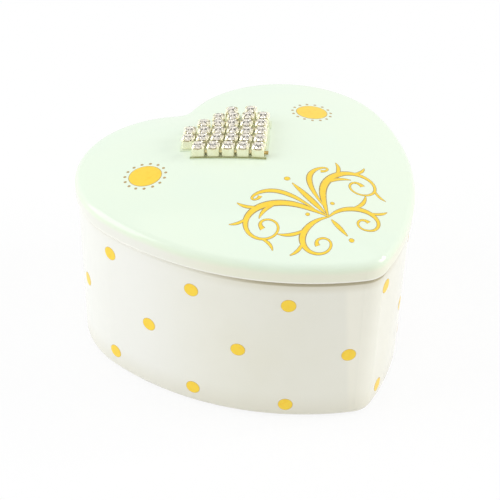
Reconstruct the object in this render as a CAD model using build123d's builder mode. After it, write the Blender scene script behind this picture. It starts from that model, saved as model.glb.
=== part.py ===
from build123d import *
from math import atan2, cos, degrees, radians, sin, sqrt
import os

# A heart-shaped keepsake box of glazed ceramic: a bowl, a loose domed lid and a small heart of
# rhinestone chain glued on the lid. Millimetres, +Z up, +Y from the heart's point to its notch.
# The origin is under the middle of the heart, on the surface that the box stands on.

# The heart, measured on the lid's rim
heart_width = 70.0
heart_length = 68.0
lobe_radius = 22.5
side_radius = 56.0
point_radius = 6.0
notch_radius = 4.5
inner_point_radius = 3.0

# The bowl
bowl_height = 34.0
bowl_wall = 3.0
bowl_draft = 0.5
bowl_floor = 3.2
bowl_foot_round = 1.6
bowl_rim_round = 0.6
bowl_floor_round = 2.5
foot_ring_width = 3.4
foot_recess = 0.8
foot_recess_round = 0.5

# The lid
lid_gap = 0.15
lid_overhang = 0.5
lid_band = 2.0
lid_shoulder = 1.8
lid_rise = 4.8
lid_shell = 3.2
lid_lip_round = 0.5
flange_clearance = 0.6
flange_width = 2.2
flange_depth = 3.5
flange_round = 0.7
dome_shares = (1.0, 0.85, 0.68, 0.5, 0.3, 0.1)

# One setting of the rhinestone chain: a cut glass stone in a square cup with four claws
stone_diameter = 2.46
stone_table = 1.35
stone_crown = 0.55
stone_star_share = 0.5
stone_girdle = 0.12
stone_pavilion = 1.1
stone_culet = 0.3
stone_facets = 8
cup_width = 2.54
cup_height = 1.9
cup_corner = 0.35
cup_claws = 4
cup_scallop = 0.3
cup_scallop_radius = 1.6
stone_gap = 0.04
claw_width = 0.4
claw_thickness = 0.2
claw_reach = 0.4

# The links that join the cups of a row, and the stub where the chain was cut
chain_pitch = 2.9
link_width = 0.9
link_thickness = 0.3
link_lift = 0.5
link_gap = 0.01
link_stub = 0.8
link_short_stub = 0.35

# The glued heart of chain: how many settings each row has and how far it lies behind the front row, as
# shares of the row pitch, then where the row starts and how far apart its settings lie, as shares of the
# chain pitch. The last row is two single settings, cut apart.
row_pitch = 3.05
row_counts = (5, 6, 6, 5, 4, 2)
row_depth_shares = (0.0, 1.02, 2.02, 3.1, 4.16, 5.07)
row_start_shares = (0.11, 0.02, 0.01, 0.07, 0.0, 0.92)
row_spread_shares = (1.015, 0.99, 0.99, 1.01, 1.04, 1.34)
chain_start_x = -1.0
chain_start_y = 2.65
chain_turn = -40.0
glue_thickness = 0.12
glue_margin = 0.4
glue_gap = 0.04

# Cuts run past the faces that they open by this much
overrun = 1.0


def side_centre():
    """Centre of the long right-hand side arc, tangent to the lobe and to the point."""
    lobe = Vector(heart_width / 2 - lobe_radius, heart_length / 2 - lobe_radius)
    point = Vector(0, point_radius - heart_length / 2)
    to_lobe = side_radius - lobe_radius
    to_point = side_radius - point_radius
    span = (point - lobe).length
    along = (to_lobe**2 - to_point**2 + span**2) / (2 * span)
    across = sqrt(to_lobe**2 - along**2)
    unit = (point - lobe).normalized()
    return lobe + unit * along + Vector(unit.Y, -unit.X) * across


def heading(start, end):
    """Angle in degrees of the line from start to end."""
    return degrees(atan2(end.Y - start.Y, end.X - start.X))


def heart(inset=0.0, softness=0.0):
    """Face of the heart, drawn in by inset: four tangent arcs a side, mirrored.

    Softness rounds the point and fills the notch, from 0, as cast, towards 1.
    """
    lobe = Vector(heart_width / 2 - lobe_radius, heart_length / 2 - lobe_radius)
    side = side_centre()
    notch_round = notch_radius / (1 - softness)
    notch = Vector(0, lobe.Y + sqrt((lobe_radius + notch_round) ** 2 - lobe.X**2))
    tip = max(point_radius - inset, inner_point_radius) + (lobe_radius - point_radius) * softness
    point = Vector(0, side.Y - sqrt((side_radius - inset - tip) ** 2 - side.X**2))
    lobe_start = heading(lobe, notch)
    side_start = heading(side, lobe)
    point_start = heading(side, point)
    notch_end = heading(notch, lobe)
    with BuildSketch() as outline:
        with BuildLine():
            CenterArc(notch, notch_round + inset, -90, notch_end + 90)
            CenterArc(lobe, lobe_radius - inset, lobe_start, side_start - lobe_start)
            CenterArc(side, side_radius - inset, side_start, point_start - side_start)
            CenterArc(point, tip, point_start, -90 - point_start)
            mirror(about=Plane.YZ)
        make_face()
    return outline.sketch


def tapered_heart(low_inset, high_inset, low, high):
    """Solid between a heart at height low and one at height high."""
    with BuildPart() as block:
        with BuildSketch(Plane.XY.offset(low)):
            add(heart(low_inset))
        with BuildSketch(Plane.XY.offset(high)):
            add(heart(high_inset))
        loft(ruled=True)
    return block.part


def straight_heart(inset, low, high):
    """Solid of one heart outline from height low to height high."""
    with BuildPart() as block:
        with BuildSketch(Plane.XY.offset(low)):
            add(heart(inset))
        extrude(amount=high - low)
    return block.part


def dome(base):
    """Crown of the lid: hearts that shrink and soften as they climb from height base."""
    with BuildPart() as crown:
        for share in dome_shares:
            with BuildSketch(Plane.XY.offset(base + lid_rise * (1 - share**2))):
                add(scale(heart(softness=1 - share), by=share, mode=Mode.PRIVATE))
        loft()
    return crown.part


# The hollow of the bowl, with its floor's corner rounded
bowl_top_inset = lid_overhang
bowl_low_inset = lid_overhang + bowl_draft
with BuildPart() as bowl_hollow:
    add(tapered_heart(bowl_low_inset + bowl_wall, bowl_top_inset + bowl_wall, bowl_floor, bowl_height))
    fillet(bowl_hollow.edges().group_by(Axis.Z)[0], radius=bowl_floor_round)

# The recess under the bowl, which leaves a foot ring to stand on
recess_inset = bowl_low_inset + bowl_foot_round + foot_ring_width
with BuildPart() as foot_hollow:
    add(straight_heart(recess_inset, 0, foot_recess))
    fillet(foot_hollow.edges().group_by(Axis.Z)[-1], radius=foot_recess_round)

# The bowl: a drafted heart with a rounded foot and a rounded rim
with BuildPart() as box_body:
    add(tapered_heart(bowl_low_inset, bowl_top_inset, 0, bowl_height))
    fillet(box_body.edges().group_by(Axis.Z)[0], radius=bowl_foot_round)
    add(bowl_hollow.part, mode=Mode.SUBTRACT)
    fillet(box_body.edges().group_by(Axis.Z)[-1], radius=bowl_rim_round)
    add(foot_hollow.part, mode=Mode.SUBTRACT)
box_body.part.label = "box_body"

# The lid: a straight band and a dome, softened where they meet, with a flange that drops in the bowl
lid_base = bowl_height + lid_gap
lid_edge = lid_base + lid_band + lid_shoulder
flange_inset = bowl_top_inset + bowl_wall + flange_clearance
flange_low = lid_base - flange_depth
hollow_inset = flange_inset + flange_width
hollow_top = lid_edge - lid_shell
with BuildPart() as lid_hollow:
    add(dome(hollow_top))
    add(straight_heart(hollow_inset, hollow_top, lid_edge + lid_rise), mode=Mode.INTERSECT)
    add(straight_heart(hollow_inset, flange_low, hollow_top))

with BuildPart() as flange:
    add(straight_heart(flange_inset, flange_low, lid_base))
    fillet(flange.edges().group_by(Axis.Z)[0], radius=flange_round)

with BuildPart() as lid:
    add(straight_heart(0, lid_base, lid_edge))
    fillet(lid.edges().group_by(Axis.Z)[0], radius=lid_lip_round)
    add(dome(lid_edge))
    shoulder_reach = lid_shoulder / 4
    shoulder = lid.edges().filter_by_position(Axis.Z, lid_edge - shoulder_reach, lid_edge + shoulder_reach)
    fillet(shoulder, radius=lid_shoulder)
    add(flange.part)
    add(lid_hollow.part, mode=Mode.SUBTRACT)
    lip = lid.edges().group_by(Axis.Z)[0]
    fillet(lip, radius=flange_round)
lid.part.label = "lid"


def setting_spots():
    """Places of the settings over the lid, row by row, seen from above."""
    along = Vector(cos(radians(chain_turn)), sin(radians(chain_turn)))
    across = Vector(-along.Y, along.X)
    start = Vector(chain_start_x, chain_start_y)
    table = zip(row_counts, row_depth_shares, row_start_shares, row_spread_shares)
    return [[start + across * (row_pitch * depth) - along * (chain_pitch * (first + spread * step))
             for step in range(count)] for count, depth, first, spread in table]


def resting_plane(solid, spot, lift):
    """Plane on the solid's top at the spot, raised by lift, with its X along the rows of chain."""
    point, normal = solid.find_intersection_points(Axis((spot.X, spot.Y, 0), (0, 0, 1)))[-1]
    along = Vector(cos(radians(chain_turn)), sin(radians(chain_turn)))
    return Plane(origin=point + normal * lift, x_dir=along, z_dir=normal)


def halfway_plane(first, second):
    """Plane midway between two neighbouring settings, with their mean slope."""
    return Plane(
        origin=(first.origin + second.origin) / 2,
        x_dir=first.origin - second.origin,
        z_dir=first.z_dir + second.z_dir)


# The chain is limp, so each setting lies on the dome by itself, on a film of adhesive
spots = setting_spots()
row_seats = [[resting_plane(lid.part, spot, glue_thickness + glue_gap) for spot in row] for row in spots]

# The adhesive under the settings, between the dome raised by its gap and by its thickness
glue_width = row_pitch + glue_margin
with BuildPart() as glue_bed:
    with BuildSketch(Plane.XY.offset(lid_edge)):
        with Locations(*[spot for row in spots for spot in row]):
            Rectangle(glue_width, glue_width, rotation=chain_turn)
    extrude(amount=lid_rise + overrun)
    add(lid.part.moved(Location((0, 0, glue_thickness))), mode=Mode.INTERSECT)
    add(lid.part.moved(Location((0, 0, glue_gap))), mode=Mode.SUBTRACT)
glue_bed.part.label = "glue_bed"

# One stone is cut like a brilliant. Its pavilion and its bezels are eight-sided pyramids cut short,
# and a flatter one, turned by half a facet, cuts a star facet beside each side of the table.
girdle_low = cup_height
girdle_high = girdle_low + stone_girdle
table_height = girdle_high + stone_crown
half_facet = 180 / stone_facets
flat_share = cos(radians(half_facet))
bezel_top = stone_table / 2 / flat_share
bezel_corner = bezel_top + (stone_diameter / 2 - bezel_top) * stone_star_share
table_flat = stone_table / 2 * flat_share
star_foot = (table_flat + (bezel_corner - table_flat) / stone_star_share) / flat_share
with BuildPart() as crown_stars:
    for height, radius in ((girdle_high, star_foot), (table_height, stone_table / 2)):
        with BuildSketch(Plane.XY.offset(height)):
            RegularPolygon(radius, stone_facets)
    loft(ruled=True)

with BuildPart() as crown:
    for height, radius in ((girdle_high, stone_diameter / 2), (table_height, bezel_top)):
        with BuildSketch(Plane.XY.offset(height)):
            RegularPolygon(radius, stone_facets, rotation=half_facet)
    loft(ruled=True)
    add(crown_stars.part, mode=Mode.INTERSECT)

stone_profile = (
    (girdle_low - stone_pavilion, stone_culet / 2),
    (girdle_low, stone_diameter / 2),
    (girdle_high, stone_diameter / 2),
)
with BuildPart() as stone:
    for height, radius in stone_profile:
        with BuildSketch(Plane.XY.offset(height)):
            RegularPolygon(radius, stone_facets, rotation=half_facet)
    loft(ruled=True)
    add(crown.part)

# The seat is the stone's lower half with a little room round it, open at the top
seat_profile = (
    (girdle_low - stone_pavilion - stone_gap, stone_culet / 2 + stone_gap),
    (girdle_low, stone_diameter / 2 + stone_gap),
)
with BuildPart() as seat:
    for height, radius in seat_profile:
        with BuildSketch(Plane.XY.offset(height)):
            RegularPolygon(radius, stone_facets, rotation=half_facet)
    loft(ruled=True)
    extrude(seat.faces().sort_by(Axis.Z)[-1], amount=overrun)

# A claw rises from a rounded corner of the cup and lies over a bezel of the stone
claw_low = cup_height - cup_scallop
crown_foot = Vector(stone_diameter / 2 * flat_share, girdle_high)
crown_top = Vector(stone_table / 2, table_height)
along_crown = (crown_top - crown_foot).normalized()
off_crown = Vector(along_crown.Y, -along_crown.X)
claw_root = crown_foot + off_crown * stone_gap
claw_tip = claw_root + along_crown * claw_reach
corner_reach = (cup_width / 2 - cup_corner) * sqrt(2) + sqrt(cup_corner**2 - (claw_width / 2) ** 2)
with BuildPart() as claw:
    with BuildSketch(Plane(origin=(0, 0, 0), x_dir=(1, 1, 0), z_dir=(1, -1, 0))):
        Polygon(
            (corner_reach, claw_low), (corner_reach, girdle_high), claw_tip + off_crown * claw_thickness,
            claw_tip, claw_root, (claw_root.X, claw_low), align=None)
    extrude(amount=claw_width / 2, both=True)

# One cup: the stone's edge rests on its walls, which dip in an arc from claw to claw
scallop_centre = cup_height + cup_scallop_radius - cup_scallop
with BuildPart() as cup:
    with BuildSketch() as cup_plan:
        RectangleRounded(cup_width, cup_width, cup_corner)
    extrude(amount=cup_height)
    for wall in (Plane.XZ, Plane.YZ):
        with BuildSketch(wall):
            with Locations((0, scallop_centre)):
                Circle(cup_scallop_radius)
        extrude(amount=cup_width / 2 + overrun, both=True, mode=Mode.SUBTRACT)
    add(seat.part, mode=Mode.SUBTRACT)
    with PolarLocations(0, cup_claws):
        add(claw.part)

# Each row of chain is three nodes: its cups, its stones and the links between the cups
pieces = [box_body, lid, glue_bed]
for number, seats in enumerate(row_seats, start=1):
    with BuildPart() as cups:
        with Locations(*seats):
            add(cup.part)
    cups.part.label = f"cups_row_{number}"

    with BuildPart() as stones:
        with Locations(*seats):
            add(stone.part)
    stones.part.label = f"stones_row_{number}"

    with BuildPart() as links:
        if number < len(row_seats):
            for first, second in zip(seats, seats[1:]):
                link_length = (first.origin - second.origin).length - cup_width - 2 * link_gap
                with Locations(halfway_plane(first, second) * Pos(0, 0, link_lift)):
                    Box(link_length, link_width, link_thickness)
        else:
            stub_place = (cup_width + link_short_stub) / 2 + link_gap
            for seat, side in ((seats[0], -1), (seats[1], 1)):
                with Locations(seat * Pos(side * stub_place, 0, link_lift)):
                    Box(link_short_stub, link_width, link_thickness)
        if number == 1:
            with Locations(seats[0] * Pos((cup_width + link_stub) / 2 + link_gap, 0, link_lift)):
                Box(link_stub, link_width, link_thickness)
    links.part.label = f"links_row_{number}"
    pieces += [cups, stones, links]

os.makedirs("parts", exist_ok=True)
for piece in pieces:
    export_step(piece.part, f"parts/{piece.part.label}.step")
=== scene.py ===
# %% [markdown]
# # A heart-shaped keepsake box in glazed ceramic
# The real box is two slip-cast pieces, a deep bowl and a loose lid, glazed glossy and fired again
# with gold prints. A patch of rhinestone chain, cut into a small heart, is glued on the lid. The
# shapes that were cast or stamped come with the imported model, so this lesson adds what is printed,
# glazed, plated and polished. Everything is in metres, in the frame of that model.

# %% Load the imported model
import math

import bmesh
import bpy
from mathutils import Matrix, Vector
from mathutils.bvhtree import BVHTree


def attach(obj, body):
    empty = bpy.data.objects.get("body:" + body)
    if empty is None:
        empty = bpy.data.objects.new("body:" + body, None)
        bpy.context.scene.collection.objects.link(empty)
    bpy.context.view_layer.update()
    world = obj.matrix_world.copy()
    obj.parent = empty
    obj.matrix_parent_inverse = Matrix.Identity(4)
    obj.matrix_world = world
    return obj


MM = 0.001

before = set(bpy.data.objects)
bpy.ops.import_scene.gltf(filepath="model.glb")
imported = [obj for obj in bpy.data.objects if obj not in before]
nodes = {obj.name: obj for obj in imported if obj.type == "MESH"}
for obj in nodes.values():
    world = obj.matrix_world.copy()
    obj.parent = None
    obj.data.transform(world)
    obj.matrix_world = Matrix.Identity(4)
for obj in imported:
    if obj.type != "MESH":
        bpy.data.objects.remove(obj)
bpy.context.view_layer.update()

# %% [markdown]
# ## The camera
# The picture was taken from the front left, a little over a third of the way up, with the box
# turned on the table. A long lens keeps the sides of the bowl nearly parallel. The camera is
# written as an orbit: an azimuth, an elevation, a slight roll, a distance, and how far the middle
# of the picture lies beside the orbit's centre, which is how a photographer would describe it.

# %% Place the camera
LENS = 108
NEAREST = 10 * MM
AZIMUTH, ELEVATION, ROLL = -36.99, 36.01, 1.54
DISTANCE = 311.43 * MM
ASIDE, ABOVE = 3.77 * MM, -0.38 * MM
ORBIT_CENTRE = Vector((0, 0, 20 * MM))


def orbit_axes(azimuth, elevation, roll):
    """The camera's right, up and backward directions."""
    a, e, r = (math.radians(angle) for angle in (azimuth, elevation, roll))
    back = Vector((math.sin(a) * math.cos(e), -math.cos(a) * math.cos(e), math.sin(e)))
    right = Vector((math.cos(a), math.sin(a), 0))
    up = back.cross(right)
    return (right * math.cos(r) + up * math.sin(r),
            up * math.cos(r) - right * math.sin(r), back)


right, up, back = orbit_axes(AZIMUTH, ELEVATION, ROLL)
camera = bpy.data.objects.new("camera", bpy.data.cameras.new("camera"))
camera.data.lens = LENS
camera.data.clip_start = NEAREST
camera.matrix_world = Matrix.Translation(
    ORBIT_CENTRE + back * DISTANCE - right * ASIDE - up * ABOVE
) @ Matrix((right, up, back)).transposed().to_4x4()
bpy.context.scene.collection.objects.link(camera)
bpy.context.scene.camera = camera
bpy.context.scene.view_settings.view_transform = "Standard"
print("camera stands at", [round(x, 3) for x in camera.matrix_world.translation])

# %% [markdown]
# ## Sums with sockets
# A finish is a small calculation: how far up the lid, how close to an edge, how much grain. Writing
# that as node links is slow to read, so one small class wraps a socket and lets Python's own signs
# add the Math nodes. A second class makes any other node of a tree, and a third is a material.

# %% A socket that can be added and multiplied
class Wire:
    """A node's output that takes part in sums."""

    def __init__(self, tree, socket):
        self.tree, self.socket = tree, socket

    def __getitem__(self, name):
        return Wire(self.tree, self.socket.node.outputs[name])

    def math(self, operation, *values):
        return self.tree.node("Math", {"operation": operation}, *values)

    def __add__(self, other):
        return self.math("ADD", self, other)

    def __sub__(self, other):
        return self.math("SUBTRACT", self, other)

    def __rsub__(self, other):
        return self.math("SUBTRACT", other, self)

    def __mul__(self, other):
        return self.math("MULTIPLY", self, other)

    __radd__, __rmul__ = __add__, __mul__


print("made Wire, whose signs add Math nodes")


# %% A tree of nodes
class NodeTree:
    """The nodes of a material or a room, which are made and linked by calls."""

    def __init__(self, tree):
        self.nodes, self.links = tree.nodes, tree.links

    def node(self, kind, settings, *values, **named):
        """Adds a node: its settings first, then the values or wires of its sockets."""
        made = self.nodes.new("ShaderNode" + kind)
        for setting, value in settings.items():
            setattr(made, setting, value)
        for key, value in [*enumerate(values), *named.items()]:
            self.feed(made.inputs[key.replace("_", " ") if isinstance(key, str) else key], value)
        return Wire(self, made.outputs[0])

    def feed(self, socket, value):
        """Links a wire to a socket or sets the socket's own value, and leaves it alone for None."""
        if isinstance(value, Wire):
            self.links.new(value.socket, socket)
        elif value is not None:
            socket.default_value = value

    def larger(self, first, second):
        return self.node("Math", {"operation": "MAXIMUM"}, first, second)

    def xyz(self, vector):
        return self.node("SeparateXYZ", {}, vector)

    def ramp(self, value, low, high):
        """0 below low, 1 above high, and a soft step between."""
        return self.node("MapRange", {"interpolation_type": "SMOOTHSTEP"}, value, low, high)

    def mix(self, share, first, second):
        """A colour that goes from first to second with share."""
        made = self.nodes.new("ShaderNodeMix")
        made.data_type = "RGBA"
        sockets = {socket.identifier: socket for socket in [*made.inputs, *made.outputs]}
        self.feed(sockets["Factor_Float"], share)
        for name, colour in (("A_Color", first), ("B_Color", second)):
            self.feed(sockets[name], colour if isinstance(colour, Wire) else (*colour, 1))
        return Wire(self, sockets["Result_Color"])


print("made NodeTree, whose calls add the other nodes")


# %% A material
GRAIN_DETAIL = 3.0


class Finish(NodeTree):
    """A procedural material whose shader is called by the names of its sockets."""

    def __init__(self, name):
        self.material = bpy.data.materials.new(name)
        self.material.use_nodes = True
        super().__init__(self.material.node_tree)
        self.shader = self.nodes["Principled BSDF"]
        self.place = self.node("TexCoord", {})["Object"]

    def shade(self, **named):
        for key, value in named.items():
            self.feed(self.shader.inputs[key.replace("_", " ")], value)

    def grain(self, scale, detail=GRAIN_DETAIL):
        """Even noise about a half, with scale in features per metre."""
        return self.node("TexNoise", {}, self.place, None, scale, detail)

    def patches(self, scale, low, high):
        """0 or 1 in soft patches, where the grain lies below low or above high."""
        return self.ramp(self.grain(scale), low, high)

    def uneven(self, scale, least, most):
        """A number that wanders with the grain from least to most."""
        return self.grain(scale) * (most - least) + least

    def bump(self, height, depth):
        """A surface that rises by depth in metres where height is 1."""
        return self.node("Bump", {}, Height=height, Distance=depth, Strength=1.0)


def paint(piece, *finishes):
    """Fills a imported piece's slots with one finish, or gives a new piece several.

    The numbers of a new piece's faces count its finishes, from 0.
    """
    for slot in piece.material_slots:
        slot.material = finishes[0].material
    if not piece.material_slots:
        for finish in finishes:
            piece.data.materials.append(finish.material)


print("made Finish, a tree with a shader, and paint, which gives it to a piece")

# %% [markdown]
# ## The table
# The box stands on a white table in a white room. The table is shown pure white where it is lit:
# the camera, reflections and glass see mostly a plain white glow, and a share of the real shading
# under it keeps a trace of the shadow. The light that the table throws back on the box comes from
# the real shading alone.

# %% The table
TABLE_SIZE = 6.0
TABLE_DROP = 0.02 * MM
TABLE_WHITE, TABLE_ROUGHNESS = (0.97, 0.97, 0.97, 1), 0.7
PURE_WHITE = (1, 1, 1, 1)
SHADOW_LEFT = 0.15


def finish_mesh(name, bm, smooth=True):
    """Turns a bmesh into an object with outward faces."""
    bmesh.ops.recalc_face_normals(bm, faces=bm.faces)
    mesh = bpy.data.meshes.new(name)
    bm.to_mesh(mesh)
    bm.free()
    for face in mesh.polygons:
        face.use_smooth = smooth
    piece = bpy.data.objects.new(name, mesh)
    bpy.context.scene.collection.objects.link(piece)
    return piece


def seen_directly(tree):
    """1 for what the camera, a reflection or a glass sees, and 0 for light that falls."""
    path = tree.node("LightPath", {})
    through = tree.larger(path["Is Glossy Ray"], path["Is Transmission Ray"])
    return tree.larger(path["Is Camera Ray"], through)


table_top = bmesh.new()
bmesh.ops.create_grid(table_top, x_segments=1, y_segments=1, size=TABLE_SIZE / 2,
                      matrix=Matrix.Translation((0, 0, -TABLE_DROP)))
table = finish_mesh("table", table_top)

white_table = Finish("white_table")
white_table.shade(Base_Color=TABLE_WHITE, Roughness=TABLE_ROUGHNESS)
shaded = Wire(white_table, white_table.shader.outputs[0])
glow = white_table.node("Emission", {}, PURE_WHITE, 1.0)
glow_share = seen_directly(white_table) * (1 - SHADOW_LEFT)
shown = white_table.node("MixShader", {}, glow_share, shaded, glow)
white_table.feed(white_table.nodes["Material Output"].inputs["Surface"], shown)
paint(table, white_table)
print("the table keeps", SHADOW_LEFT, "of the shadow")

# %% [markdown]
# ## The room and the lamps
# The room is plain white where it is seen and dimmer as a light. A big, slightly cool lamp at the
# left gives the most light, and a smaller one at the right and one overhead keep the far side
# open. A very small one, beyond the box at the right, adds glints in the stones. Each lamp is
# placed as the photographer sees it: so far to the side, so far beyond the box, and so high.

# %% The room
ROOM_LIGHT = 0.66

room = bpy.data.worlds.new("room")
room.use_nodes = True
bpy.context.scene.world = room
room_tree = NodeTree(room.node_tree)
backdrop = room_tree.nodes["Background"]
brightness = room_tree.node("MapRange", {}, seen_directly(room_tree),
                            To_Min=ROOM_LIGHT, To_Max=1.0)
room_tree.feed(backdrop.inputs["Color"], PURE_WHITE)
room_tree.feed(backdrop.inputs["Strength"], brightness)
print("the room shines at", ROOM_LIGHT)


# %% The lamps
def softbox(name, side, forward, height, size, power, colour=(1, 1, 1)):
    """A square lamp beside the camera's line of sight, aimed at the lid."""
    ahead = Vector((-back.x, -back.y, 0)).normalized()
    across = Vector((right.x, right.y, 0)).normalized()
    stand = across * side + ahead * forward + Vector((0, 0, height))
    lamp = bpy.data.lights.new(name, "AREA")
    lamp.size, lamp.energy, lamp.color = size, power, colour
    made = bpy.data.objects.new(name, lamp)
    aim = (ORBIT_CENTRE - stand).to_track_quat("-Z", "Y")
    made.matrix_world = Matrix.Translation(stand) @ aim.to_matrix().to_4x4()
    bpy.context.scene.collection.objects.link(made)
    print(name, "gives", power, "W")


softbox("left_lamp", side=-0.79, forward=-0.04, height=0.42, size=0.65, power=3.3,
        colour=(0.94, 0.97, 1.00))
softbox("right_lamp", side=0.90, forward=0.05, height=0.45, size=0.45, power=3.0)
softbox("top_lamp", side=0.0, forward=0.25, height=1.1, size=0.8, power=0.8)
softbox("stone_lamp", side=0.75, forward=0.21, height=0.51, size=0.12, power=0.45)

# %% [markdown]
# ## Glaze
# The bowl is slip-cast white earthenware under a glossy glaze with a little cream stain. Up close
# the glaze is never one flat colour. It is warmer where it lies thick, its surface swells gently
# over some millimetres, and a fine orange peel breaks up the reflections. The lobe at the left is
# painted paler on both pieces, painted light where the left lamp falls on it. A mix of noise,
# position and height gives all of this, and because it reads the object's own coordinates, it
# stays where it is when the lid lifts.

# %% What both glazes share
GLAZE_SHINE = 270, 0.09, 0.14
SWELL_SCALE, SWELL_DETAIL, SWELL_DEPTH = 110, 1.0, 0.016 * MM
PEEL_SCALE, PEEL_DETAIL, PEEL_DEPTH = 1400, 2.0, 0.0008 * MM
LEFT_LIGHT_FULL, LEFT_LIGHT_END = -33 * MM, -23 * MM


def glaze_relief(finish):
    """The slow swell of poured glaze with its orange peel on top."""
    swell = finish.grain(SWELL_SCALE, SWELL_DETAIL)
    peel = finish.grain(PEEL_SCALE, PEEL_DETAIL)
    return finish.bump(swell + peel * (PEEL_DEPTH / SWELL_DEPTH), SWELL_DEPTH)


def painted_left_light(finish, at):
    """1 on the left lobe, where light from the left is painted in as a paler colour, and 0
    elsewhere.
    """
    return 1 - finish.ramp(at["X"], LEFT_LIGHT_FULL, LEFT_LIGHT_END)


print("glaze swells by", round(SWELL_DEPTH / MM, 3), "mm")

# %% [markdown]
# ## The bowl's cream glaze
# Near the upright corner at the heart's point a paler strip with one sharp side is painted on, a
# painted highlight that leans a little with the wall. Just above the foot and just under the rim
# the cream is painted darker and warmer, painted shade. The foot ring, which stands on the kiln's
# shelf, and the rim, on which the lid sits while it is fired, are kept bare of glaze and stay matt,
# and the rim's top is clean clay. The rim's outer edge is painted dark brown, a painted shadow of
# the seam under the lid. Towards the left, where light from the left falls into the gap, the
# painted shade under the rim and this painted shadow fade, and the bare, matt rim fades with them.

# %% Colours and places of the cream glaze
CREAM, CREAM_THICK = (0.860, 0.850, 0.750), (0.835, 0.820, 0.700)
CREAM_PATCHES = 45, 0.35, 0.75
# A painted highlight: the paler strip near the heart's point
CREAM_PAINTED_HIGHLIGHT = (0.910, 0.892, 0.775)
# Painted light: the left lobe's paler cream
CREAM_PAINTED_LIGHT = (0.878, 0.876, 0.815)
# Painted shade, darker and warmer, above the foot and under the rim
CREAM_PAINTED_SHADE = (0.765, 0.735, 0.605)
# The bare clay, and a painted shadow of the seam on the rim's outer edge
BARE_CLAY, RIM_PAINTED_SHADOW = (0.780, 0.745, 0.670), (0.490, 0.440, 0.300)
CLAY_ROUGHNESS = 0.75

# The painted highlight, a paler strip near the corner: its place across the box, its lean, its sharp
# and soft sides, and how near to the heart's point it starts
CORNER_AT, CORNER_SLANT = -3.1 * MM, 0.075
CORNER_STEP, CORNER_FADE = (-0.6 * MM, 0.6 * MM), (1.5 * MM, 6.0 * MM)
CORNER_FROM, CORNER_FULL = -24 * MM, -27 * MM

# Heights on the wall: the bare foot, the painted shade above it, the painted shade under the rim,
# the bare rim with its painted seam shadow, and its clean top
FOOT_BARE, FOOT_GLAZED = 0.25 * MM, 0.45 * MM
FOOT_SHADE_FULL, FOOT_SHADE_END, FOOT_SHADE_SHARE = 1.0 * MM, 7.0 * MM, 0.5
RIM_SHADE_START, RIM_SHADE_FULL = 31.2 * MM, 33.3 * MM
RIM_START, RIM_FULL = 33.1 * MM, 33.5 * MM
RIM_TOP_START, RIM_TOP_FULL = 33.80 * MM, 33.95 * MM

# Across the box, from the left: where the rim's painted shadow and bareness start to grow, where
# they are full, and the least of them
RIM_FAINT_AT, RIM_STRONG_AT, RIM_LEAST_SHARE = -30 * MM, -15 * MM, 0.1

print("the bare rim starts", round(RIM_START / MM, 1), "mm up")

# %% Cream glaze for the bowl
cream = Finish("cream_glaze")
on_bowl = cream.xyz(cream.place)
up_wall = on_bowl["Z"]

# A paler strip near the corner, a painted highlight
beside = on_bowl["X"] + up_wall * CORNER_SLANT - CORNER_AT
over_corner = cream.ramp(beside, *CORNER_STEP) * (1 - cream.ramp(beside, *CORNER_FADE))
painted_corner_highlight = over_corner * (1 - cream.ramp(on_bowl["Y"], CORNER_FULL, CORNER_FROM))
# Painted seam shade, fainter towards the left, where light from the left falls into the gap
shaded_and_bare_across = cream.ramp(on_bowl["X"], RIM_FAINT_AT, RIM_STRONG_AT) * (1 - RIM_LEAST_SHARE) + RIM_LEAST_SHARE
# Painted shade: darker and warmer just above the foot, and just under the rim
shade_near_foot = (1 - cream.ramp(up_wall, FOOT_SHADE_FULL, FOOT_SHADE_END)) * FOOT_SHADE_SHARE
painted_shade = cream.larger(shade_near_foot, cream.ramp(up_wall, RIM_SHADE_START, RIM_SHADE_FULL) * shaded_and_bare_across)
glazed = cream.ramp(up_wall, FOOT_BARE, FOOT_GLAZED)
rim = cream.ramp(up_wall, RIM_START, RIM_FULL) * shaded_and_bare_across
rim_top = cream.ramp(up_wall, RIM_TOP_START, RIM_TOP_FULL)
bare = cream.larger(rim, 1 - glazed)

cream_colour = cream.mix(cream.patches(*CREAM_PATCHES), CREAM, CREAM_THICK)
# Over the cream go the painted highlight at the corner, painted light on the left lobe and painted
# shade
for share, colour in ((painted_corner_highlight, CREAM_PAINTED_HIGHLIGHT), (painted_left_light(cream, on_bowl), CREAM_PAINTED_LIGHT),
                      (painted_shade, CREAM_PAINTED_SHADE)):
    cream_colour = cream.mix(share, cream_colour, colour)
cream_colour = cream.mix(glazed, BARE_CLAY, cream_colour)
# The rim's outer edge gets a painted shadow of the seam, and its top clean clay
cream_colour = cream.mix(rim, cream_colour, cream.mix(rim_top, RIM_PAINTED_SHADOW, BARE_CLAY))
cream.shade(Base_Color=cream_colour, Normal=glaze_relief(cream),
            Roughness=cream.uneven(*GLAZE_SHINE) * (1 - bare) + bare * CLAY_ROUGHNESS)
paint(nodes["box_body"], cream)
print("cream_glaze has", len(cream.nodes), "nodes")

# %% [markdown]
# ## The lid's two colours
# The lid was dipped cream and then sprayed mint from above. The mint is even on the dome, pools a
# little darker where the shoulder starts, fades over the shoulder, and leaves the upright band
# cream. It can't reach what faces down, so the hollow stays cream too. The band's lower lip is
# painted paler, a painted reflection of the white table below it. The height on the lid tells these
# apart, with a little noise, because a spray's edge wanders.

# %% Mint glaze for the lid
MINT, MINT_DEEP = (0.860, 0.965, 0.795), (0.835, 0.955, 0.805)
MINT_PATCHES = 45, 0.3, 0.8
MINT_POOLED = (0.810, 0.910, 0.710)
# The band's cream, and its painted light on the left lobe
BAND_CREAM, BAND_PAINTED_LIGHT = (0.862, 0.862, 0.700), (0.852, 0.852, 0.772)
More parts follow.
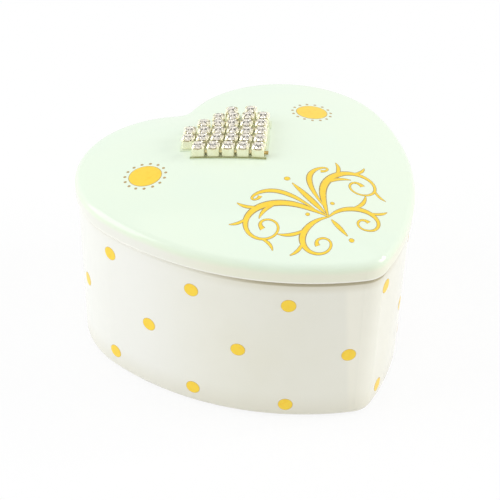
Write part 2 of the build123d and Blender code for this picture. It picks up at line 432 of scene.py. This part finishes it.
# A painted reflection of the white table on the band's lower lip
LIP_PAINTED_REFLECTION = (0.960, 0.950, 0.870)
LIP_LOW, LIP_HIGH = 34.45 * MM, 34.85 * MM
SPRAY_END, SPRAY_FULL = 35.9 * MM, 37.5 * MM
POOL_LOW, POOL_HIGH = 36.8 * MM, 38.4 * MM
SPRAY_GRAIN, SPRAY_WANDER = 160, 0.5 * MM
FACES_DOWN, FACES_OUT = -0.15, 0.0

mint = Finish("mint_glaze")
on_lid = mint.xyz(mint.place)
sprayed_height = on_lid["Z"] + (mint.grain(SPRAY_GRAIN) - 0.5) * SPRAY_WANDER
upward = mint.xyz(mint.node("NewGeometry", {})["True Normal"])["Z"]
reached = mint.ramp(upward, FACES_DOWN, FACES_OUT)
sprayed = mint.ramp(sprayed_height, SPRAY_END, SPRAY_FULL) * reached
pooled = 1 - mint.ramp(sprayed_height, POOL_LOW, POOL_HIGH)
even_mint = mint.mix(mint.patches(*MINT_PATCHES), MINT, MINT_DEEP)
# The band is painted paler on the left lobe, painted light
band = mint.mix(painted_left_light(mint, on_lid), BAND_CREAM, BAND_PAINTED_LIGHT)
# The lower lip is painted paler, a painted reflection
below_spray = mint.mix(mint.ramp(on_lid["Z"], LIP_LOW, LIP_HIGH), LIP_PAINTED_REFLECTION, band)
mint.shade(Base_Color=mint.mix(sprayed, below_spray, mint.mix(pooled, even_mint, MINT_POOLED)),
           Roughness=mint.uneven(*GLAZE_SHINE), Normal=glaze_relief(mint))
paint(nodes["lid"], mint)
print("mint_glaze has", len(mint.nodes), "nodes")

# %% [markdown]
# ## Gold
# The dots, the suns and the scroll are bright gold, printed over the glaze and fired a third time.
# The film is a few hundredths of a millimetre thick. It is fine gold powder in a yellow flux, so it
# shines only partly as metal, and along its edge it runs thin and burns brown.

# %% Gold film and its thin edge
GOLD, GOLD_DEEP, GOLD_PATCHES = (1.000, 0.695, 0.048), (0.980, 0.630, 0.030), (900, 0.45, 0.8)
GOLD_METALLIC, GOLD_SHINE = 0.15, (2500, 0.22, 0.42)
BURNT, BURNT_DEEP, BURNT_GRAIN = (0.580, 0.410, 0.165), (0.430, 0.310, 0.135), 1500
BURNT_METALLIC, BURNT_ROUGHNESS = 0.3, 0.35
EDGE_NUMBER, GOLD_NUMBER = 0, 1

gold = Finish("gold_film")
gold.shade(Base_Color=gold.mix(gold.patches(*GOLD_PATCHES), GOLD, GOLD_DEEP),
           Metallic=GOLD_METALLIC, Roughness=gold.uneven(*GOLD_SHINE))
gold_edge = Finish("gold_edge")
gold_edge.shade(Base_Color=gold_edge.mix(gold_edge.grain(BURNT_GRAIN), BURNT, BURNT_DEEP),
                Metallic=BURNT_METALLIC, Roughness=BURNT_ROUGHNESS)
print("faces numbered", GOLD_NUMBER, "are gold and", EDGE_NUMBER, "burnt")

# %% [markdown]
# ## A print that follows the pottery
# A decal is drawn flat and then slid on to the curved piece. The same is done here: every print is
# a thin closed shape, made flat at the origin, and each of its points is then laid on the packed
# surface. A search tree over the surface's triangles finds the place, straight below for the lid
# and nearest for the upright wall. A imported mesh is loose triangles, so its copy is merged first.

# %% Surfaces that prints are laid on
MERGED = 0.002 * MM
HIGH_ABOVE = Vector((0, 0, 200 * MM))
DOWN = Vector((0, 0, -1))


def merged_copy(node):
    """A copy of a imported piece's mesh with its doubled vertices merged."""
    bm = bmesh.new()
    bm.from_mesh(nodes[node].data)
    bmesh.ops.remove_doubles(bm, verts=bm.verts, dist=MERGED)
    return bm


lid_tree = BVHTree.FromBMesh(merged_copy("lid"))
bowl_mesh = merged_copy("box_body")
bowl_tree = BVHTree.FromBMesh(bowl_mesh)


def lay_on_lid(bm, centre):
    """Moves a flat print over its place on the lid, in mm, and drops it on the dome."""
    place = Matrix.Translation((centre[0] * MM, centre[1] * MM, 0))
    bmesh.ops.transform(bm, matrix=place, verts=bm.verts)
    for vertex in bm.verts:
        over = Vector((vertex.co.x, vertex.co.y, 0)) + HIGH_ABOVE
        spot, normal, *_ = lid_tree.ray_cast(over, DOWN)
        vertex.co = spot + normal * vertex.co.z


def lay_on_bowl(bm, middle, along):
    """Lays a flat print on the wall about a point of it, with the print's X along the wall."""
    for vertex in bm.verts:
        flat = middle + along * vertex.co.x + Vector((0, 0, vertex.co.y))
        spot, normal, *_ = bowl_tree.find_nearest(flat)
        vertex.co = spot + normal * vertex.co.z


print("the bowl's merged mesh has", len(bowl_mesh.verts), "vertices")

# %% A flat disc of gold
FILM, EDGE_FILM = 0.035 * MM, 0.018 * MM
BURIED = 0.02 * MM
DISC_SIDES, DISC_RINGS = 40, 4
DISC_TAPER = 0.985


def add_disc(bm, radius, top, number, centre=(0, 0)):
    """Adds a thin closed disc, with rings of faces on top so that it can bend."""
    made = bmesh.ops.create_cone(
        bm, cap_ends=True, segments=DISC_SIDES, radius1=radius, radius2=radius * DISC_TAPER,
        depth=top + BURIED,
        matrix=Matrix.Translation((centre[0], centre[1], (top - BURIED) / 2)))
    faces = {face for vertex in made["verts"] for face in vertex.link_faces}
    for face in faces:
        face.material_index = number
    cap = max(faces, key=lambda face: face.calc_center_median().z)
    for _ in range(DISC_RINGS):
        bmesh.ops.inset_region(bm, faces=[cap], thickness=radius / (DISC_RINGS + 1))


print("gold film is", round(FILM / MM, 3), "mm thick")

# %% [markdown]
# ## The suns
# Each sun is a plain gold disc with a thin burnt outline and a ring of small beads round it. The
# outline is a second, wider disc under the first, which is how the printer lays it too. The beads
# are so small that they are burnt all through.

# %% Two suns on the lid
SUN_RADIUS = 3.37 * MM
OUTLINE = 0.13 * MM
BEADS = 15
BEAD_RADIUS, BEAD_RING = 0.31 * MM, 4.07 * MM
BEAD_TURN = math.radians(-6)
SUN_CENTRES = {"left_sun": (-22.3, 11.7), "right_sun": (19.7, 12.1)}


def sun():
    """A flat sun about the origin."""
    bm = bmesh.new()
    add_disc(bm, SUN_RADIUS, EDGE_FILM, EDGE_NUMBER)
    add_disc(bm, SUN_RADIUS - OUTLINE, FILM, GOLD_NUMBER)
    for step in range(BEADS):
        turn = math.tau * step / BEADS + BEAD_TURN
        bead = (BEAD_RING * math.cos(turn), BEAD_RING * math.sin(turn))
        add_disc(bm, BEAD_RADIUS, EDGE_FILM, EDGE_NUMBER, bead)
    return bm


for name, centre in SUN_CENTRES.items():
    flat_sun = sun()
    lay_on_lid(flat_sun, centre)
    piece = finish_mesh(name, flat_sun, smooth=False)
    paint(piece, gold_edge, gold)
    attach(piece, "lid_with_trim")
    print(name, "has", len(piece.data.polygons), "faces")

# %% [markdown]
# ## The scroll
# Towards the heart's point the lid carries a plain scroll ornament in the same gold. It is drawn as
# a brush would draw it, with strokes that start thin, swell and end in a curl. Each stroke is a
# curve with a radius at every point. The curve's round tube is made a mesh, pressed flat, and laid
# on the dome, once wide in burnt gold and once narrower in bright gold. Leaves start on the stem's
# own line and turn away from it, so each grows out of its stroke.

# %% One stroke
PRESS = 0.05
TUBE_ROUNDNESS = 2
CURVE_ORDER, CURVE_STEPS = 4, 8


def stroke_tube(points, wider, flip):
    """The mesh of a round tube along (x, y, half width) points in mm, mirrored where flip is -1."""
    line = bpy.data.curves.new("stroke", "CURVE")
    line.dimensions = "3D"
    line.bevel_depth = MM
    line.bevel_resolution = TUBE_ROUNDNESS
    line.use_fill_caps = True
    spline = line.splines.new("NURBS")
    spline.points.add(len(points) - 1)
    for point, (x, y, half_width) in zip(spline.points, points):
        point.co = (flip * x * MM, y * MM, 0, 1)
        point.radius = half_width + wider
    spline.order_u = CURVE_ORDER
    spline.use_endpoint_u = True
    spline.resolution_u = CURVE_STEPS
    drawn = bpy.data.objects.new("stroke", line)
    bpy.context.scene.collection.objects.link(drawn)
    bpy.context.view_layer.update()
    finished = drawn.evaluated_get(bpy.context.evaluated_depsgraph_get())
    tube = bpy.data.meshes.new_from_object(finished)
    bpy.data.objects.remove(drawn)
    bpy.data.curves.remove(line)
    return tube


def add_stroke(bm, points, wider, lift, number, flip=1):
    """Adds a stroke's tube, pressed flat."""
    tube = stroke_tube(points, wider, flip)
    known = len(bm.faces)
    bm.from_mesh(tube)
    bm.faces.ensure_lookup_table()
    fresh = bm.faces[known:]
    for vertex in {vertex for face in fresh for vertex in face.verts}:
        vertex.co.z = vertex.co.z * PRESS + lift
    for face in fresh:
        face.material_index = number
    bpy.data.meshes.remove(tube)


print("a stroke is pressed to", PRESS, "of its width")

# %% A leaf that grows out of a stroke
# Each row says how far along the leaf a point lies, how far it bends aside, both as shares of the
# leaf's length, and how wide it is there.
LEAF = ((0.0, 0.0, 0.15), (0.35, 0.08, 0.7), (0.8, 0.38, 1.0), (0.95, 0.95, 0.04))


def leaf(stem, joint, side, length, half_width):
    """Points of a leaf that leaves a stroke along it and bends to its left (1) or right (-1)."""
    before, here, after = (Vector(stem[joint + step][:2]) for step in (-1, 0, 1))
    # A cubic curve with even steps passes through this mean of three of its control points
    root = (before + here * 4 + after) / 6
    ahead = (after - before).normalized() * length
    aside = Vector((-ahead.y, ahead.x)) * side
    return [(*(root + ahead * along + aside * out), share * half_width)
            for along, out, share in LEAF]


print("a leaf has", len(LEAF), "points")

# %% The scroll's strokes, as (x, y, half width) in millimetres about its middle
UPPER_STEM = [
    (0.0, -3.4, 0.10), (0.9, -1.6, 0.30), (2.4, 1.6, 0.60), (5.2, 4.8, 0.80), (9.2, 6.4, 0.78),
    (13.2, 5.6, 0.55), (15.4, 2.2, 0.32), (14.2, -1.2, 0.22), (11.0, -2.0, 0.18), (8.8, 0.2, 0.17),
    (9.8, 3.0, 0.17), (12.2, 2.8, 0.22), (12.2, 1.0, 0.50)]
INNER_STEM = [
    (1.1, -0.4, 0.10), (1.6, 2.6, 0.30), (2.6, 6.0, 0.55), (4.8, 8.9, 0.55), (8.0, 9.6, 0.26),
    (9.8, 8.6, 0.16), (8.4, 7.7, 0.18), (7.4, 8.4, 0.38)]
LOWER_STEM = [
    (0.0, -3.6, 0.10), (2.2, -2.9, 0.35), (5.6, -3.4, 0.66), (8.4, -5.6, 0.60), (8.6, -9.0, 0.30),
    (5.8, -10.8, 0.20), (3.2, -9.2, 0.17), (4.0, -6.8, 0.17), (6.0, -7.0, 0.22), (6.2, -8.2, 0.45)]
LEAVES = [
    leaf(UPPER_STEM, 4, 1, 3.4, 0.55), leaf(UPPER_STEM, 5, 1, 2.8, 0.45),
    leaf(UPPER_STEM, 3, -1, 4.4, 0.60), leaf(UPPER_STEM, 7, 1, 2.6, 0.40),
    leaf(LOWER_STEM, 2, 1, 4.2, 0.55), leaf(LOWER_STEM, 3, 1, 3.0, 0.45)]
MIRRORED_STROKES = [UPPER_STEM, INNER_STEM, LOWER_STEM, *LEAVES]
MIDDLE_STROKES = [
    [(0.0, -2.6, 0.06), (0.0, 0.0, 0.65), (0.0, 4.0, 0.85), (0.0, 8.0, 0.04)],
    [(0.0, -4.4, 0.04), (0.0, -6.0, 0.60), (0.0, -7.4, 0.50), (0.0, -9.4, 0.04)]]
SCROLL_DOTS = [(0.0, 9.6, 0.55), (0.0, -10.6, 0.45), (3.0, -0.9, 0.36), (-3.0, -0.9, 0.36)]
print("the scroll has", 2 * len(MIRRORED_STROKES) + len(MIDDLE_STROKES), "strokes")

# %% Print the scroll
SCROLL_CENTRE = (-1.4, -16.6)
SCROLL_OUTLINE = 0.10
EDGE_LIFT, GOLD_LIFT = 0.004 * MM, 0.016 * MM

scroll_print = bmesh.new()
for wider, lift, top, number in ((SCROLL_OUTLINE, EDGE_LIFT, EDGE_FILM, EDGE_NUMBER),
                                 (0.0, GOLD_LIFT, FILM, GOLD_NUMBER)):
    for points in MIRRORED_STROKES:
        for flip in (1, -1):
            add_stroke(scroll_print, points, wider, lift, number, flip)
    for points in MIDDLE_STROKES:
        add_stroke(scroll_print, points, wider, lift, number)
    for x, y, radius in SCROLL_DOTS:
        add_disc(scroll_print, (radius + wider) * MM, top, number, (x * MM, y * MM))
lay_on_lid(scroll_print, SCROLL_CENTRE)
scroll = finish_mesh("gold_scroll", scroll_print)
paint(scroll, gold_edge, gold)
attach(scroll, "lid_with_trim")
print("gold_scroll has", len(scroll.data.polygons), "faces")

# %% [markdown]
# ## The dots round the bowl
# Three rows of dots run round the wall, the middle row half a step on and a little out of level, as
# prints set by hand are. Those in front have their own places, and the rest are evenly spaced
# round the back. To find the places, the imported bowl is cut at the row's height, and the outer
# line of the cut is walked with a tape measure, starting at the heart's point.

# %% Walk round the bowl at a height
def outline_at(level):
    """The bowl's outer outline at a height, as points in order from the heart's point."""
    cut = bowl_mesh.copy()
    bmesh.ops.bisect_plane(cut, geom=[*cut.verts, *cut.edges, *cut.faces], plane_co=(0, 0, level),
                           plane_no=(0, 0, 1), clear_inner=True, clear_outer=True)
    bmesh.ops.remove_doubles(cut, verts=cut.verts, dist=MERGED)
    start = min(cut.verts, key=lambda vertex: vertex.co.y)
    walk, seen = [start], {start}
    while True:
        ahead = [edge.other_vert(walk[-1]) for edge in walk[-1].link_edges]
        ahead = [vertex for vertex in ahead if vertex not in seen]
        if not ahead:
            break
        step = min(ahead, key=lambda vertex: vertex.co.x) if len(walk) == 1 else ahead[0]
        walk.append(step)
        seen.add(step)
    points = [vertex.co.copy() for vertex in walk]
    cut.free()
    return points


def outline_steps(points):
    """The closed outline's steps, each as its start, its end and its length."""
    return [(a, b, (b - a).length) for a, b in zip(points, [*points[1:], points[0]])]


def round_length(points):
    return sum(length for _, _, length in outline_steps(points))


def along_outline(points, distance):
    """The point and the direction at a distance along the closed outline."""
    left = distance % round_length(points)
    for a, b, length in outline_steps(points):
        if left <= length:
            break
        left -= length
    return a.lerp(b, min(left / length, 1.0)), (b - a).normalized()


HALF_WAY_UP = 17 * MM
outline = outline_at(HALF_WAY_UP)
print("the wall is", round(round_length(outline) / MM, 1), "mm round in", len(outline), "steps")

# %% Print the dots
# Each row has its dots in front, as (distance along the wall, height) in mm, and the number of
# even gaps from the last of them round the back to the first.
DOT_RADIUS = 1.5 * MM
DOT_OUTLINE = OUTLINE / 2
DOT_ROWS = (
    (((-4.4, 29.8), (16.2, 28.6), (35.3, 28.8), (54.6, 29.5)), 8),
    (((-18.3, 15.5), (3.9, 16.1), (25.6, 16.5), (44.8, 16.5), (63.8, 17.4)), 7),
    (((-5.4, 3.9), (15.8, 3.5), (34.8, 4.1), (54.0, 4.6)), 8))
HAND_WANDER = 0.4


def dot_places(front, gaps):
    """A row's outline and its dots' places, of which those at the back wander in height."""
    level = sum(height for _, height in front) / len(front)
    ring = outline_at(level * MM)
    first, last = front[0][0], front[-1][0]
    gap = (round_length(ring) / MM + first - last) / gaps
    back_dots = [(last + gap * step, level + HAND_WANDER * math.sin(gap * step))
                 for step in range(1, gaps)]
    return ring, [*front, *back_dots]


all_dots = bmesh.new()
for front, gaps in DOT_ROWS:
    ring, places = dot_places(front, gaps)
    for distance, height in places:
        middle, along = along_outline(ring, distance * MM)
        middle.z = height * MM
        dot = bmesh.new()
        add_disc(dot, DOT_RADIUS, EDGE_FILM, EDGE_NUMBER)
        add_disc(dot, DOT_RADIUS - DOT_OUTLINE, FILM, GOLD_NUMBER)
        lay_on_bowl(dot, middle, along)
        laid = bpy.data.meshes.new("dot")
        dot.to_mesh(laid)
        all_dots.from_mesh(laid)
        dot.free()
        bpy.data.meshes.remove(laid)
dots = finish_mesh("gold_dots", all_dots, smooth=False)
paint(dots, gold_edge, gold)
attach(dots, "bowl")
bowl_mesh.free()
print("gold_dots has", len(dots.data.polygons), "faces")

# %% [markdown]
# ## The cups and links of the rhinestone chain
# The cups are stamped brass with a bright pale plate, which mirrors the mint lid and the room. The
# links lie in the shade between the cups, and their plate is worn. Where the front row was cut from
# the chain, at its right-hand end, the stub shows bare brass.

# %% Plate and brass
PLATE, PLATE_TARNISHED = (0.95, 0.92, 0.73), (0.89, 0.85, 0.62)
TARNISH_PATCHES = 500, 0.45, 0.8
PLATE_METALLIC, PLATE_SHINE = 0.7, (1800, 0.14, 0.28)
WORN_PLATE, WORN_PLATE_DEEP = (0.86, 0.78, 0.50), (0.70, 0.61, 0.34)
BARE_BRASS, BARE_BRASS_DEEP = (0.54, 0.38, 0.13), (0.40, 0.29, 0.10)
BRASS_GRAIN, BRASS_METALLIC, BRASS_ROUGHNESS = 1200, 0.9, 0.38
ROWS_TURNED = math.radians(-40)
CUT_START, CUT_FULL = -2.2 * MM, -2.0 * MM


def distance_towards(finish, angle):
    """How far a place lies from the lid's middle in a level direction."""
    at = finish.xyz(finish.place)
    return at["X"] * math.cos(angle) + at["Y"] * math.sin(angle)


plate = Finish("bright_plate")
plate.shade(Base_Color=plate.mix(plate.patches(*TARNISH_PATCHES), PLATE, PLATE_TARNISHED),
            Metallic=PLATE_METALLIC, Roughness=plate.uneven(*PLATE_SHINE))
brass = Finish("cut_brass")
cut_end = brass.ramp(distance_towards(brass, ROWS_TURNED), CUT_START, CUT_FULL)
worn = brass.mix(brass.grain(BRASS_GRAIN), WORN_PLATE, WORN_PLATE_DEEP)
bare_end = brass.mix(brass.grain(BRASS_GRAIN), BARE_BRASS, BARE_BRASS_DEEP)
brass.shade(Base_Color=brass.mix(cut_end, worn, bare_end),
            Metallic=BRASS_METALLIC, Roughness=BRASS_ROUGHNESS)
print("the chain's rows are turned by", round(math.degrees(ROWS_TURNED)), "degrees")

# %% [markdown]
# ## The stones
# The stones are cut glass with a foil of silver behind them. Light enters through the crown, is
# thrown back by the foil and leaves through another facet, so real glass over real foil gives the
# sparkle. The foil is on the facets that face down, and the surface's own direction tells them
# apart. A ray inside the stone is given that direction turned round, so it is turned back first.

# %% Glass and its foil
CRYSTAL = (1.00, 0.97, 0.91, 1)
GLASS_SHARE, GLASS_INDEX = 0.84, 1.55
FOIL_FULL, FOIL_END = -0.35, -0.15

crystal = Finish("cut_glass")
facet = crystal.node("NewGeometry", {})
turned_back = 1 - facet["Backfacing"] * 2
outward = crystal.xyz(facet["True Normal"])["Z"] * turned_back
foiled = 1 - crystal.ramp(outward, FOIL_FULL, FOIL_END)
crystal.shade(Base_Color=CRYSTAL, Metallic=foiled, Transmission_Weight=GLASS_SHARE,
              Roughness=0.0, IOR=GLASS_INDEX)
print("glass bends light by an index of", GLASS_INDEX)

# %% [markdown]
# ## The glue
# The glue is clear and thin, so it shows the mint under it. Along the front row a dark olive line
# is painted on it, a painted shadow under the cups. That line is found by the distance across the
# rows, and noise makes it uneven.

# %% Glue, and paint for the whole trim
GLUE_CLEAR, GLUE_THICK, GLUE_GRAIN = (0.82, 0.93, 0.74), (0.74, 0.83, 0.58), 700
# A painted shadow under the front row of cups
GLUE_PAINTED_SHADOW = (0.27, 0.29, 0.08)
GLUE_SHINE, GLUE_INDEX = (900, 0.1, 0.3), 1.48
FRONT_SHADOW_RISE, FRONT_SHADOW_FALL = (-0.40 * MM, -0.05 * MM), (0.1 * MM, 0.7 * MM)
FRONT_SHADOW_SHARE = 600, 0.7, 1.2

glue = Finish("clear_glue")
# A dark olive line along the front row, a painted shadow under the cups
behind_front = distance_towards(glue, ROWS_TURNED + math.radians(90))
shadow_line = glue.ramp(behind_front, *FRONT_SHADOW_RISE)
shadow_line = shadow_line * (1 - glue.ramp(behind_front, *FRONT_SHADOW_FALL))
painted_front_shadow = shadow_line * glue.uneven(*FRONT_SHADOW_SHARE)
thin_glue = glue.mix(glue.grain(GLUE_GRAIN), GLUE_CLEAR, GLUE_THICK)
glue.shade(Base_Color=glue.mix(painted_front_shadow, thin_glue, GLUE_PAINTED_SHADOW),
           Roughness=glue.uneven(*GLUE_SHINE), IOR=GLUE_INDEX)

TRIM_FINISHES = {"cups": plate, "links": brass, "stones": crystal, "glue": glue}
for name, node in nodes.items():
    kind = name.split("_")[0]
    if kind in TRIM_FINISHES:
        paint(node, TRIM_FINISHES[kind])
print("finishes:", ", ".join(sorted(m.name for m in bpy.data.materials if m.users)))
